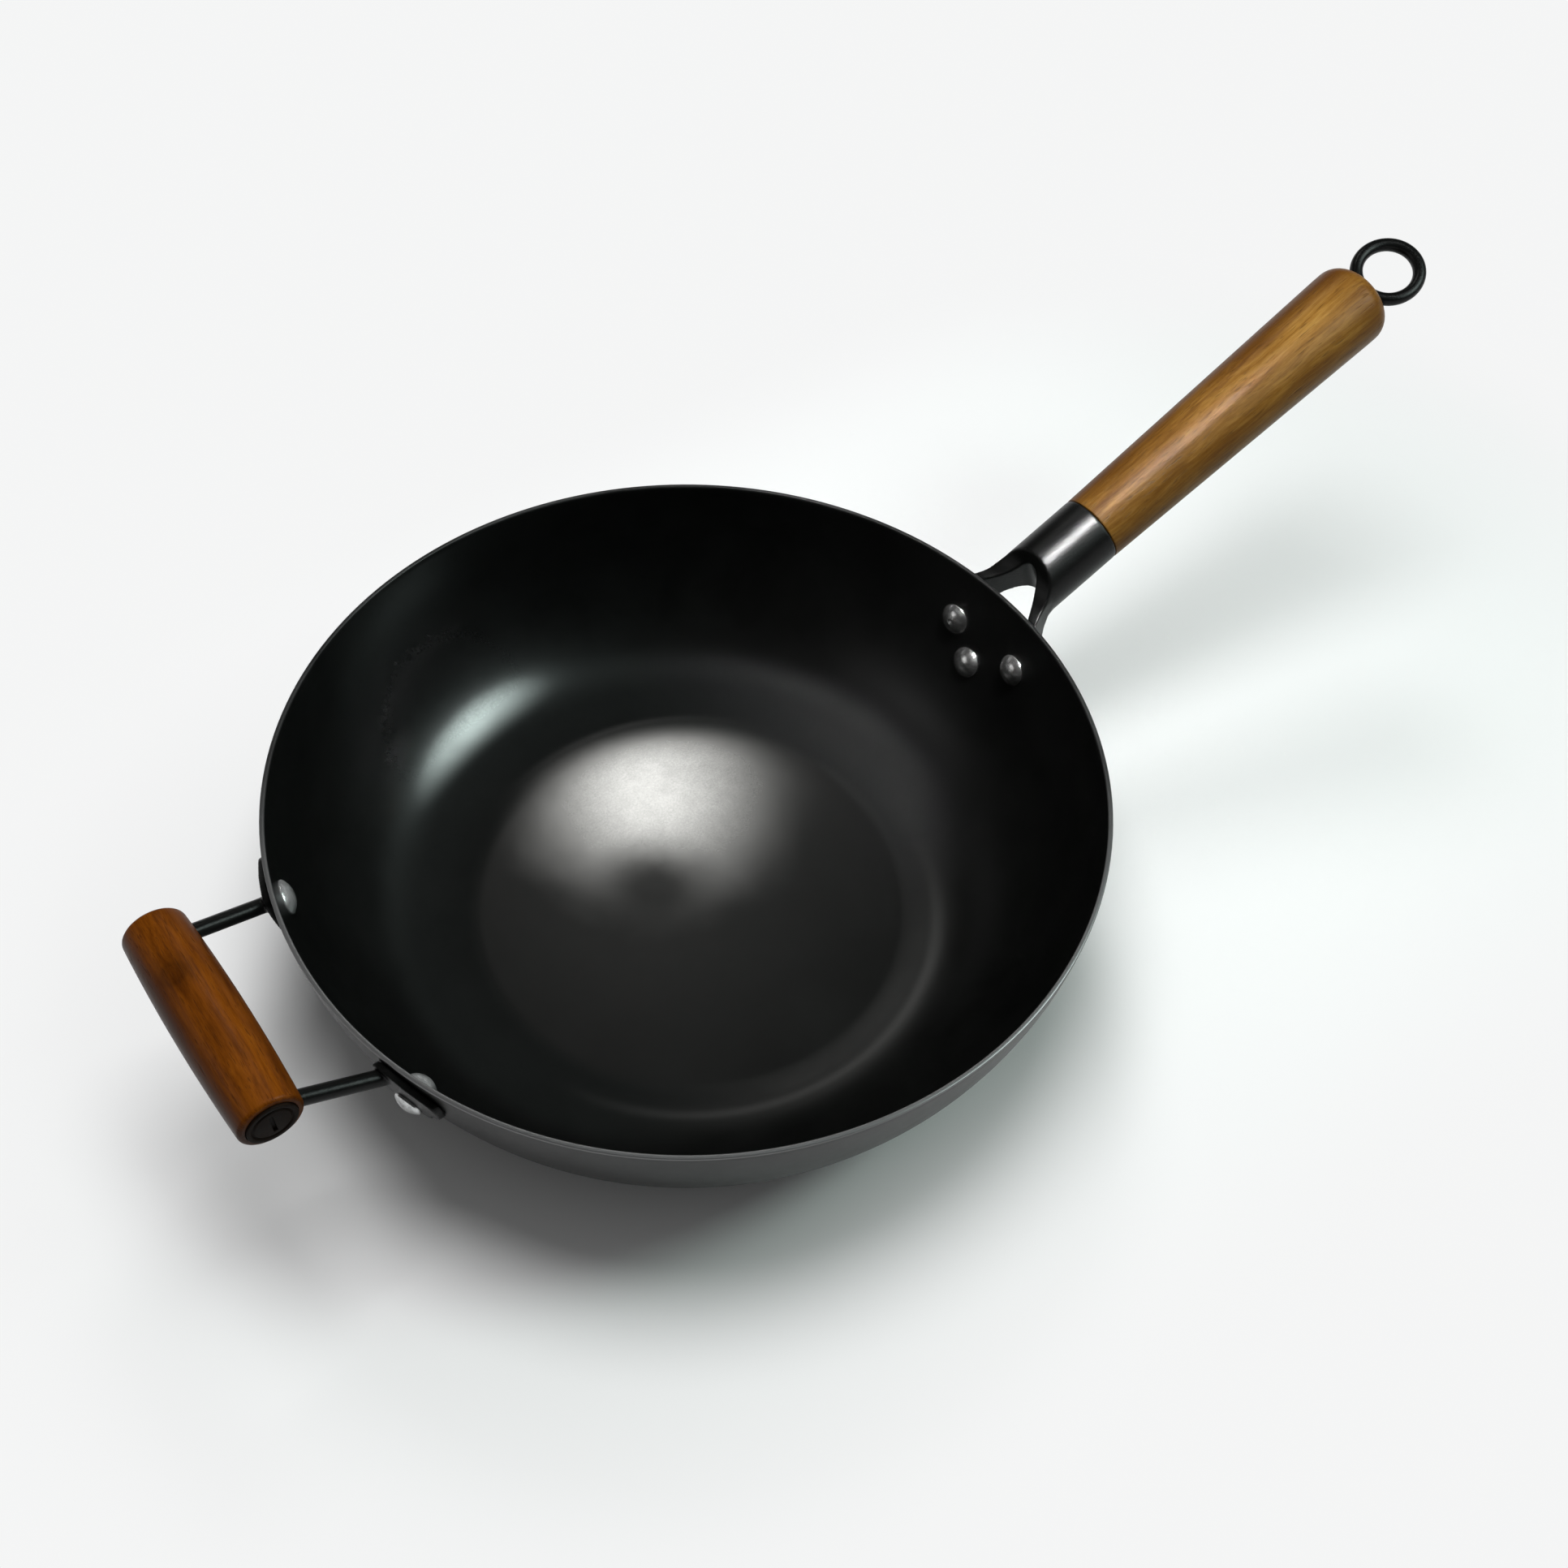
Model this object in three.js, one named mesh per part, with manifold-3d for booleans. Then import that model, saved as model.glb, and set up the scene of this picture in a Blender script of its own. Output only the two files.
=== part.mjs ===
import * as THREE from 'three';
import { mergeVertices } from 'three/addons/utils/BufferGeometryUtils.js';
import Module from 'manifold-3d';

const wasm = await Module();
wasm.setup();

// Flat-bottom wok. Millimetres, +Z up, origin at the centre of the underside,
// long handle along +X, helper handle along -X.

// Fits between pieces
const clearance = 0.3;

// Bowl: flat base, curved wall that leans out a little at the rim, plain sheet edge
const rimRadius = 160;
const bowlHeight = 88;
const bowlSheet = 1.8;
const baseRadius = 96;
const rimLean = 3.6;

// Long handle: where the wood meets the socket, measured from the rim
const junctionReach = 47.1;
const junctionRise = 13.1;
const handleSlope = 22.04;
const woodLength = 157.7;
const woodFrontRadius = 15.2;
const woodBackRadius = 18.2;
const woodSwellRun = 146;
const woodEndRound = 8;

// Socket: a tube that forks into two splayed arms on a riveted plate
const socketSheet = 3.2;
const tenonLength = 13.7;
const webSheet = 2.5;
const forkCrown = 32;
const forkCrownRadius = 11;
const forkSplay = 28;
const forkBlendRun = 6;
const forkFlare = 0.05;
const forkTopStart = -28.6;
const forkTopCurve = [[-36.5, 2.6], [-47, 3.2]];
const forkTopFall = 0.1;
const forkBottomStart = -25;
const forkBottomCurve = [[-44, -12.4], [-35, -3.5]];
const forkBottomFall = 0.02;
const plateSheet = 2.2;
const plateTopDrop = 5;
const plateMargin = 9;
const plateCorner = 7;

// Rivets of the long handle, measured down from the rim and sideways
const upperRivetDrop = 25.7;
const upperRivetSpread = 18.6;
const lowerRivetDrop = 39.4;
const lowerRivetShift = 4.6;
const rivetShankRadius = 2.5;
const rivetHeadRadius = 6.2;
const rivetHeadHeight = 3.6;
const rivetTailRadius = 5.6;
const rivetTailHeight = 2.6;

// Hanging eye: a ring on a rod that runs through the wood, with a washer and nut
const eyeWireRadius = 2.8;
const eyeRadius = 13.4;
const eyeGap = 0.4;
const eyeTwist = 13;
const washerRadius = 8;
const washerThickness = 1.5;
const nutAcrossFlats = 10;
const nutThickness = 5;
const rodTail = 1;

// Helper handle: turned grip across the bowl on two rods
const gripReach = 34;
const gripRise = 6.2;
const gripHalfLength = 44.2;
const gripMiddleRadius = 12.5;
const gripEndRadius = 11.3;
const gripEdgeRound = 1.6;
const legRadius = 3;
const legInset = 6.6;
const legPast = 5;
const legFootSpread = 42;
const legFootDrop = 7;
const tabSheet = 2.6;
const tabFootMargin = 4.3;
const tabRivetMargin = 8;
const tabReach = 17;
const tabEndHeight = 9.6;

// Rivets of the helper handle
const helperRivetDrop = 19;
const helperRivetSpread = 49;
const helperHeadHeight = 5;

// End screws that pin the rods in the grip
const screwHeadRadius = 8.8;
const screwHeadThickness = 2;
const screwStandOut = 0.8;
const screwShankRadius = 1.5;
const screwReach = 14;
const screwSlotWidth = 1.4;
const screwSlotLength = 9;
const screwSlotDepth = 1;

// Facets around the round pieces
const bowlFacets = 72;
const tubeFacets = 36;
const rodFacets = 16;
const ringFacets = 32;
const ringWireFacets = 10;
const curveSteps = 8;
const wallSteps = 12;
const domeSteps = 4;
const weldDistance = 1e-4;

const degree = Math.PI / 180;
const unmoved = new THREE.Matrix4();

function solid(geometry, matrix = unmoved) {
  const bare = geometry.clone();
  bare.deleteAttribute('normal');
  bare.deleteAttribute('uv');
  bare.applyMatrix4(matrix);
  const merged = mergeVertices(bare, weldDistance);
  const corners = merged.index.array;
  const kept = [];
  for (let i = 0; i < corners.length; i += 3) {
    const [a, b, c] = [corners[i], corners[i + 1], corners[i + 2]];
    if (a !== b && b !== c && c !== a) {
      kept.push(a, b, c);
    }
  }
  return new wasm.Manifold(new wasm.Mesh({
    numProp: 3,
    vertProperties: new Float32Array(merged.attributes.position.array),
    triVerts: new Uint32Array(kept),
  }));
}

function shapeOf(body) {
  const mesh = body.getMesh();
  const geometry = new THREE.BufferGeometry();
  geometry.setAttribute('position', new THREE.BufferAttribute(new Float32Array(mesh.vertProperties), 3));
  geometry.setIndex(new THREE.BufferAttribute(new Uint32Array(mesh.triVerts), 1));
  geometry.computeVertexNormals();
  return geometry;
}

function turnedAboutX(points, facets) {
  const profile = points.map(([x, r]) => new THREE.Vector2(r, x));
  return new THREE.LatheGeometry(profile, facets).rotateZ(-Math.PI / 2);
}

function pinAlongX(low, high, radius) {
  return turnedAboutX([[low, 0], [low, radius], [high, radius], [high, 0]], rodFacets);
}

function prismAlongZ(shape, low, high) {
  const settings = { depth: high - low, bevelEnabled: false, curveSegments: curveSteps };
  return new THREE.ExtrudeGeometry(shape, settings).translate(0, 0, low);
}

// Outline drawn as (x, z), carried from one side to the other along Y
function prismAlongY(shape, halfWidth) {
  return prismAlongZ(shape, -halfWidth, halfWidth).rotateX(Math.PI / 2);
}

// Outline drawn as (y, z), carried along X
function prismAlongX(shape, low, high) {
  const turn = new THREE.Matrix4().set(0, 0, 1, 0, 1, 0, 0, 0, 0, 1, 0, 0, 0, 0, 0, 1);
  return prismAlongZ(shape, low, high).applyMatrix4(turn);
}

function roundedOutline(corners, round) {
  const points = corners.map(([u, v]) => new THREE.Vector2(u, v));
  const shape = new THREE.Shape();
  points.forEach((corner, i) => {
    const before = points[(i + points.length - 1) % points.length];
    const after = points[(i + 1) % points.length];
    const start = corner.clone().add(before.clone().sub(corner).setLength(round));
    const end = corner.clone().add(after.clone().sub(corner).setLength(round));
    if (i === 0) {
      shape.moveTo(start.x, start.y);
    } else {
      shape.lineTo(start.x, start.y);
    }
    shape.quadraticCurveTo(corner.x, corner.y, end.x, end.y);
  });
  shape.closePath();
  return shape;
}

function rodBetween(from, to, radius) {
  const along = to.clone().sub(from);
  const upright = new THREE.Vector3(0, 1, 0);
  const turn = new THREE.Quaternion().setFromUnitVectors(upright, along.clone().normalize());
  const middle = from.clone().add(to).multiplyScalar(0.5);
  const place = new THREE.Matrix4().compose(middle, turn, new THREE.Vector3(1, 1, 1));
  return solid(new THREE.CylinderGeometry(radius, radius, along.length(), rodFacets), place);
}

// Wall of the bowl: part of an ellipse that leaves the base level and ends at the rim
const wallReach = rimRadius - baseRadius;
const leanRun = bowlHeight * Math.tan(rimLean * degree);
const rimTurn = 2 * Math.atan(Math.sqrt(1 - (2 * leanRun) / wallReach));
const wallAcross = wallReach / Math.sin(rimTurn);
const wallUp = bowlHeight / (1 - Math.cos(rimTurn));

// A point on the outside of the wall, and its direction out of the bowl
function wallAt(turn) {
  const across = Math.sin(turn);
  const up = Math.cos(turn);
  const point = new THREE.Vector2(baseRadius + wallAcross * across, wallUp * (1 - up));
  const outward = new THREE.Vector2(wallUp * across, -wallAcross * up).normalize();
  return { point, outward };
}

// Offset is measured outwards from the outside of the bowl
function wallProfile(offset) {
  const points = [new THREE.Vector2(0, -offset)];
  for (let i = 0; i <= wallSteps; i += 1) {
    const { point, outward } = wallAt((rimTurn * i) / wallSteps);
    points.push(point.addScaledVector(outward, offset));
  }
  return points;
}

function turnedAboutZ(profile) {
  return new THREE.LatheGeometry(profile, bowlFacets).rotateX(Math.PI / 2);
}

function bowlLayer(innerOffset, outerOffset) {
  return turnedAboutZ([...wallProfile(outerOffset), ...wallProfile(innerOffset).reverse()]);
}

// Everything inside the given offset, closed off well above the rim
function bowlFilled(offset) {
  const profile = wallProfile(offset);
  const top = bowlHeight + rimRadius;
  const edge = profile.at(-1).x;
  return turnedAboutZ([...profile, new THREE.Vector2(edge, top), new THREE.Vector2(0, top)]);
}

// Frame of a rivet: origin on the outside of the wall, +X straight out of it
function rivetFrame(drop, spread, heading) {
  const { point, outward } = wallAt(Math.acos(1 - (bowlHeight - drop) / wallUp));
  const turn = new THREE.Matrix4().makeRotationZ(heading + Math.asin(spread / point.x));
  const move = new THREE.Matrix4().makeTranslation(point.x, 0, point.y);
  return turn.multiply(move).multiply(new THREE.Matrix4().makeRotationY(-outward.angle()));
}

function shankHole(frame, reach) {
  return solid(pinAlongX(-reach, reach, rivetShankRadius + clearance), frame);
}

// Dome from its seat at x = 0 towards +X
function dome(radius, height, seat) {
  const ball = (radius ** 2 + height ** 2) / (2 * height);
  const points = [[-seat, 0], [-seat, radius], [0, radius]];
  const sweep = Math.asin(Math.min(1, radius / ball));
  for (let i = 1; i < domeSteps; i += 1) {
    const angle = sweep * (1 - i / domeSteps);
    points.push([height - ball + ball * Math.cos(angle), ball * Math.sin(angle)]);
  }
  points.push([height, 0]);
  return turnedAboutX(points, tubeFacets / 2);
}

// Rivet through the wall and one layer outside it, heads seated on both
function rivet(frame, headHeight, outerLayer) {
  const seat = 1;
  const outerFace = clearance + outerLayer + clearance;
  const innerFace = -bowlSheet - clearance;
  const back = frame.clone().invert();
  const flip = new THREE.Matrix4().makeRotationZ(Math.PI).setPosition(innerFace, 0, 0);
  const out = new THREE.Matrix4().makeTranslation(outerFace, 0, 0);
  const wallSpan = solid(bowlLayer(innerFace, outerFace), back);
  const head = solid(dome(rivetHeadRadius, headHeight, seat), flip).subtract(wallSpan);
  const tail = solid(dome(rivetTailRadius, rivetTailHeight, seat), out).subtract(wallSpan);
  const shankStart = innerFace - headHeight / 2;
  const shankEnd = outerFace + rivetTailHeight / 2;
  return head.add(tail).add(solid(pinAlongX(shankStart, shankEnd, rivetShankRadius)));
}

const blackCoat = { color: 0x17181a, roughness: 0.42, metalness: 0.6 };
const blackPaint = { color: 0x141516, roughness: 0.45, metalness: 0.5 };
const steel = { color: 0xa9abad, roughness: 0.3, metalness: 1 };
const goldenWood = { color: 0x8a5a1c, roughness: 0.45, metalness: 0 };
const redWood = { color: 0x66300c, roughness: 0.4, metalness: 0 };

function piece(name, geometry, look) {
  const mesh = new THREE.Mesh(geometry, new THREE.MeshStandardMaterial(look));
  mesh.name = name;
  return mesh;
}

const wok = new THREE.Group();
wok.name = 'wok';

// Headings of the two handles
const handleHeading = 0;
const helperHeading = Math.PI;
const handleRivets = [
  ['handle_rivet_left', rivetFrame(upperRivetDrop, upperRivetSpread, handleHeading)],
  ['handle_rivet_right', rivetFrame(upperRivetDrop, -upperRivetSpread, handleHeading)],
  ['handle_rivet_low', rivetFrame(lowerRivetDrop, lowerRivetShift, handleHeading)],
];
const helperRivets = [
  ['helper_rivet_left', rivetFrame(helperRivetDrop, -helperRivetSpread, helperHeading)],
  ['helper_rivet_right', rivetFrame(helperRivetDrop, helperRivetSpread, helperHeading)],
];
const holeReach = bowlSheet + 2 * (plateSheet + tabSheet);

// Bowl
let bowl = solid(bowlLayer(-bowlSheet, 0));
for (const [, frame] of [...handleRivets, ...helperRivets]) {
  bowl = bowl.subtract(shankHole(frame, holeReach));
}
wok.add(piece('wok_bowl', shapeOf(bowl), blackCoat));

// Long handle frame: origin where the wood meets the socket, +X along the wood
const handle = new THREE.Group();
handle.name = 'long_handle';
handle.position.set(rimRadius + junctionReach, 0, bowlHeight + junctionRise);
handle.rotation.y = -handleSlope * degree;
handle.updateMatrix();
wok.add(handle);
const intoHandle = handle.matrix.clone().invert();

// Socket: tube and arms
const boreRadius = woodFrontRadius - socketSheet;
const armEnd = -(junctionReach / Math.cos(handleSlope * degree) + forkCrown);
const splay = forkSplay * degree;
const crownCentre = -forkCrown - forkCrownRadius;
const archX = crownCentre + forkCrownRadius * Math.sin(splay);
const archY = forkCrownRadius * Math.cos(splay);
const notchEndY = archY + Math.tan(splay) * (archX - armEnd);
const notch = new THREE.Shape();
notch.moveTo(archX, archY);
notch.absarc(crownCentre, 0, forkCrownRadius, Math.PI / 2 - splay, splay - Math.PI / 2, true);
notch.lineTo(armEnd, -notchEndY);
notch.lineTo(armEnd, notchEndY);
notch.closePath();

// Outside of the arms in plan, one sheet outside the notch, blended into the tube
const armOut = socketSheet / Math.cos(splay);
const blendX = archX - (woodFrontRadius - armOut - archY) / Math.tan(splay);
const blendEndX = blendX - forkBlendRun;
const blendEndY = woodFrontRadius + Math.tan(splay) * forkBlendRun;
const armEndY = notchEndY + armOut;
const armPlan = new THREE.Shape();
armPlan.moveTo(socketSheet, -woodFrontRadius);
armPlan.lineTo(socketSheet, woodFrontRadius);
armPlan.lineTo(blendX + forkBlendRun, woodFrontRadius);
armPlan.quadraticCurveTo(blendX, woodFrontRadius, blendEndX, blendEndY);
armPlan.lineTo(armEnd, armEndY);
armPlan.lineTo(armEnd, -armEndY);
armPlan.lineTo(blendEndX, -blendEndY);
armPlan.quadraticCurveTo(blendX, -woodFrontRadius, blendX + forkBlendRun, -woodFrontRadius);
armPlan.closePath();

// Side view of the fork: full depth at the tube, narrower along the arms
const [topBend, topEnd] = forkTopCurve;
const [lowEnd, lowBend] = forkBottomCurve;
const overTube = woodFrontRadius + socketSheet / 2;
const forkSide = new THREE.Shape();
forkSide.moveTo(socketSheet, overTube);
forkSide.lineTo(forkTopStart, overTube);
forkSide.quadraticCurveTo(topBend[0], topBend[1], topEnd[0], topEnd[1]);
forkSide.lineTo(armEnd, topEnd[1] - forkTopFall * (topEnd[0] - armEnd));
forkSide.lineTo(armEnd, lowEnd[1] - forkBottomFall * (lowEnd[0] - armEnd));
forkSide.lineTo(lowEnd[0], lowEnd[1]);
forkSide.quadraticCurveTo(lowBend[0], lowBend[1], forkBottomStart, -overTube);
forkSide.lineTo(socketSheet, -overTube);
forkSide.closePath();

const boreEnd = archX - (boreRadius - archY) / Math.tan(splay);
const webBack = -tenonLength - clearance;
const webFront = webBack - webSheet;
const rodHole = eyeWireRadius + clearance;

// Round tube that opens out along the fork, so the arms leave it without a step
const flareStart = blendX + forkBlendRun;
const flare = [[armEnd, 0]];
const flareSteps = 6;
for (let i = 0; i <= flareSteps; i += 1) {
  const x = armEnd + ((flareStart - armEnd) * i) / flareSteps;
  flare.push([x, woodFrontRadius + forkFlare * (flareStart - x) ** 2]);
}
flare.push([0, woodFrontRadius], [0, 0]);
const bore = solid(turnedAboutX([
  [boreEnd, 0],
  [boreEnd, boreRadius],
  [webFront, boreRadius],
  [webFront, rodHole],
  [webBack, rodHole],
  [webBack, boreRadius],
  [socketSheet, boreRadius],
  [socketSheet, 0],
], tubeFacets));
const forkWidth = 2 * armEndY;
let socket = solid(turnedAboutX(flare, tubeFacets));
socket = socket.intersect(solid(prismAlongZ(armPlan, -forkWidth, forkWidth)));
socket = socket.intersect(solid(prismAlongY(forkSide, forkWidth)));
socket = socket.subtract(bore);
socket = socket.subtract(solid(prismAlongZ(notch, -forkWidth, forkWidth)));
socket = socket.subtract(solid(bowlFilled(clearance), intoHandle));

// Plate on the outside of the wall behind the three rivets
const plateTop = bowlHeight - plateTopDrop;
const plateSide = upperRivetSpread + plateMargin;
const plateShoulder = bowlHeight - upperRivetDrop;
const plateBottom = bowlHeight - lowerRivetDrop - plateMargin;
const plateOutline = roundedOutline([
  [-plateSide, plateTop],
  [-plateSide, plateShoulder],
  [lowerRivetShift - plateMargin, plateBottom],
  [lowerRivetShift + plateMargin, plateBottom],
  [plateSide, plateShoulder],
  [plateSide, plateTop],
], plateCorner);
const plateLayer = solid(bowlLayer(clearance, clearance + plateSheet));
let plate = plateLayer.intersect(solid(prismAlongX(plateOutline, 0, rimRadius * 2)));
for (const [, frame] of handleRivets) {
  plate = plate.subtract(shankHole(frame, holeReach));
}
socket = socket.add(plate.transform(intoHandle.elements));
handle.add(piece('handle_socket', shapeOf(socket), blackPaint));

// Wood of the long handle, with a tenon in the socket and a bore for the rod
const woodStart = clearance;
const endArc = [];
const endSteps = 6;
for (let i = 0; i <= endSteps; i += 1) {
  const angle = (Math.PI / 2) * (i / endSteps);
  const roundX = woodLength - woodEndRound + woodEndRound * Math.sin(angle);
  endArc.push([roundX, woodBackRadius - woodEndRound + woodEndRound * Math.cos(angle)]);
}
const wood = turnedAboutX([
  [-tenonLength, rodHole],
  [-tenonLength, boreRadius - clearance],
  [woodStart, boreRadius - clearance],
  [woodStart, woodFrontRadius],
  [woodSwellRun, woodBackRadius],
  ...endArc,
  [woodLength, rodHole],
  [-tenonLength, rodHole],
], tubeFacets);
handle.add(piece('handle_grip', shapeOf(solid(wood)), goldenWood));

// Washer and nut inside the socket, on the bowl side of the web
const washerBack = webFront - clearance;
const washerFront = washerBack - washerThickness;
const washer = turnedAboutX([
  [washerFront, rodHole],
  [washerFront, washerRadius],
  [washerBack, washerRadius],
  [washerBack, rodHole],
  [washerFront, rodHole],
], tubeFacets / 2);
handle.add(piece('handle_washer', shapeOf(solid(washer)), steel));

const nutBack = washerFront - clearance;
const nutFront = nutBack - nutThickness;
const nutCorner = nutAcrossFlats / 2 / Math.cos(Math.PI / 6);
const nutCorners = [];
for (let i = 0; i < 6; i += 1) {
  const angle = (Math.PI / 3) * i;
  nutCorners.push(new THREE.Vector2(nutCorner * Math.cos(angle), nutCorner * Math.sin(angle)));
}
const nutOutline = new THREE.Shape(nutCorners);
const nutHole = new THREE.Path();
nutHole.absarc(0, 0, rodHole, 0, 2 * Math.PI, true);
nutOutline.holes.push(nutHole);
const nut = prismAlongX(nutOutline, nutFront, nutBack);
handle.add(piece('handle_nut', shapeOf(solid(nut)), steel));

// Hanging eye: ring and rod in one piece
const eyeCentre = woodLength + eyeGap + eyeWireRadius + eyeRadius;
const torus = new THREE.TorusGeometry(eyeRadius, eyeWireRadius, ringWireFacets, ringFacets);
const rod = solid(pinAlongX(nutFront - rodTail, eyeCentre - eyeRadius, eyeWireRadius));
const ring = solid(torus.translate(eyeCentre, 0, 0)).add(rod);
const eye = piece('hang_ring', shapeOf(ring), blackPaint);
eye.rotation.x = eyeTwist * degree;
handle.add(eye);

// Rivets of the long handle
for (const [name, frame] of handleRivets) {
  const head = piece(name, shapeOf(rivet(frame, rivetHeadHeight, plateSheet)), steel);
  head.applyMatrix4(frame);
  wok.add(head);
}

// Helper handle frame: +X straight out from the bowl
const helper = new THREE.Group();
helper.name = 'helper_handle';
helper.rotation.z = helperHeading;
helper.updateMatrix();
wok.add(helper);
const intoHelper = helper.matrix.clone().invert();
const gripX = rimRadius + gripReach;
const gripZ = bowlHeight + gripRise;
const legSpread = gripHalfLength - legInset;

function legAxis(side) {
  const atGrip = new THREE.Vector3(gripX, side * legSpread, gripZ);
  const atWall = new THREE.Vector3(rimRadius, side * legFootSpread, bowlHeight - legFootDrop);
  const way = atGrip.clone().sub(atWall).normalize();
  return { atWall, atGrip, way };
}

// Rod with a flattened tab against the wall
function leg(side, frame) {
  const { atWall, atGrip, way } = legAxis(side);
  const start = atWall.clone().addScaledVector(way, -2 * tabSheet);
  const rod = rodBetween(start, atGrip.clone().addScaledVector(way, legPast), legRadius);
  const inner = legFootSpread - tabFootMargin;
  const outer = helperRivetSpread + tabReach;
  const top = bowlHeight - legFootDrop + tabFootMargin;
  const bottom = bowlHeight - helperRivetDrop - tabRivetMargin;
  const endTop = bottom + tabEndHeight;
  const round = tabFootMargin - clearance;
  const corners = [
    [inner, bottom],
    [outer, bottom],
    [outer, endTop],
    [legFootSpread + tabFootMargin, top],
    [inner, top],
  ];
  const ordered = side > 0 ? corners : corners.map(([y, z]) => [-y, z]).reverse();
  const layer = solid(bowlLayer(clearance, clearance + tabSheet));
  const tab = layer.intersect(solid(prismAlongX(roundedOutline(ordered, round), 0, rimRadius * 2)));
  const holeSpan = 2 * legRadius;
  const pin = rodBetween(
    atGrip.clone().add(new THREE.Vector3(0, -holeSpan, 0)),
    atGrip.clone().add(new THREE.Vector3(0, holeSpan, 0)),
    screwShankRadius + clearance,
  );
  return rod.subtract(solid(bowlFilled(clearance)))
    .add(tab)
    .subtract(shankHole(intoHelper.clone().multiply(frame), holeReach))
    .subtract(pin);
}
const [[, leftFrame], [, rightFrame]] = helperRivets;
helper.add(piece('helper_leg_left', shapeOf(leg(-1, leftFrame)), blackPaint));
helper.add(piece('helper_leg_right', shapeOf(leg(1, rightFrame)), blackPaint));

// Turned grip, its own group on the grip axis with +X along it
const gripGroup = new THREE.Group();
gripGroup.name = 'grip';
gripGroup.position.set(gripX, 0, gripZ);
gripGroup.rotation.z = Math.PI / 2;
gripGroup.updateMatrix();
helper.add(gripGroup);
const intoGrip = gripGroup.matrix.clone().invert();

function gripRadiusAt(along) {
  const share = along / gripHalfLength;
  return gripMiddleRadius - (gripMiddleRadius - gripEndRadius) * share * share;
}
const barrel = [];
const barrelSteps = 4;
const barrelEnd = gripHalfLength - gripEdgeRound;
barrel.push([-gripHalfLength, 0]);
barrel.push([-gripHalfLength, gripRadiusAt(barrelEnd) - gripEdgeRound]);
for (let i = -barrelSteps; i <= barrelSteps; i += 1) {
  const along = (barrelEnd * i) / barrelSteps;
  barrel.push([along, gripRadiusAt(along)]);
}
barrel.push([gripHalfLength, gripRadiusAt(barrelEnd) - gripEdgeRound]);
barrel.push([gripHalfLength, 0]);
let grip = solid(turnedAboutX(barrel, tubeFacets));

// Seats for the rods and the end screws
const headSeat = gripHalfLength + screwStandOut - screwHeadThickness;
for (const side of [-1, 1]) {
  const { atGrip, atWall, way } = legAxis(side);
  const deep = atGrip.clone().addScaledVector(way, legPast + clearance);
  const legBore = rodBetween(atWall, deep, legRadius + clearance).transform(intoGrip.elements);
  const screwBore = solid(turnedAboutX([
    [headSeat - screwReach - clearance, 0],
    [headSeat - screwReach - clearance, screwShankRadius + clearance],
    [headSeat - clearance, screwShankRadius + clearance],
    [headSeat - clearance, screwHeadRadius + clearance],
    [gripHalfLength + screwStandOut, screwHeadRadius + clearance],
    [gripHalfLength + screwStandOut, 0],
  ], tubeFacets), new THREE.Matrix4().makeRotationZ(side > 0 ? 0 : Math.PI));
  grip = grip.subtract(legBore).subtract(screwBore);
}
gripGroup.add(piece('helper_grip', shapeOf(grip), redWood));

const screwSlot = solid(new THREE.BoxGeometry(2 * screwSlotDepth, screwSlotWidth, screwSlotLength)
  .translate(headSeat + screwHeadThickness, 0, 0));
const screw = solid(turnedAboutX([
  [headSeat - screwReach, 0],
  [headSeat - screwReach, screwShankRadius],
  [headSeat, screwShankRadius],
  [headSeat, screwHeadRadius],
  [headSeat + screwHeadThickness, screwHeadRadius],
  [headSeat + screwHeadThickness, 0],
], tubeFacets)).subtract(screwSlot);
for (const [name, turn] of [['helper_screw_right', 0], ['helper_screw_left', Math.PI]]) {
  const endScrew = piece(name, shapeOf(screw), blackPaint);
  endScrew.rotation.z = turn;
  gripGroup.add(endScrew);
}

// Rivets of the helper handle
for (const [name, frame] of helperRivets) {
  const head = piece(name, shapeOf(rivet(frame, helperHeadHeight, tabSheet)), steel);
  head.applyMatrix4(frame);
  wok.add(head);
}

export default wok;
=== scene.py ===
import math
import bmesh
import bpy
from mathutils import Matrix, Vector


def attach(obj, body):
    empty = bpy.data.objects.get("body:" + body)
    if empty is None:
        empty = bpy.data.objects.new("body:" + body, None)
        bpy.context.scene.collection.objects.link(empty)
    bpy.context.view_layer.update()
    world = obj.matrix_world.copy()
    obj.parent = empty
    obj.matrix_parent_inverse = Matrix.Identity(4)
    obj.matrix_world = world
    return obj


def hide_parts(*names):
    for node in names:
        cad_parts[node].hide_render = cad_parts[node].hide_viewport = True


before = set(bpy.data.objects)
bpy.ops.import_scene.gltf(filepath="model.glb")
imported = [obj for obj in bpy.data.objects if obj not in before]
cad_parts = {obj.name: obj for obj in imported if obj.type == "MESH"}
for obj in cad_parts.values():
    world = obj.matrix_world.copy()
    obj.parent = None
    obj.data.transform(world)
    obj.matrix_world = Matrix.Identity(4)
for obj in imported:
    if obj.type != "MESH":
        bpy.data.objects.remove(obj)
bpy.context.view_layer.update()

scene = bpy.context.scene
scene.view_settings.view_transform = "Standard"
gap = 0.3  # mm between pieces that touch
rodHole = 3.1  # mm, radius of the way for the eye's rod


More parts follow.
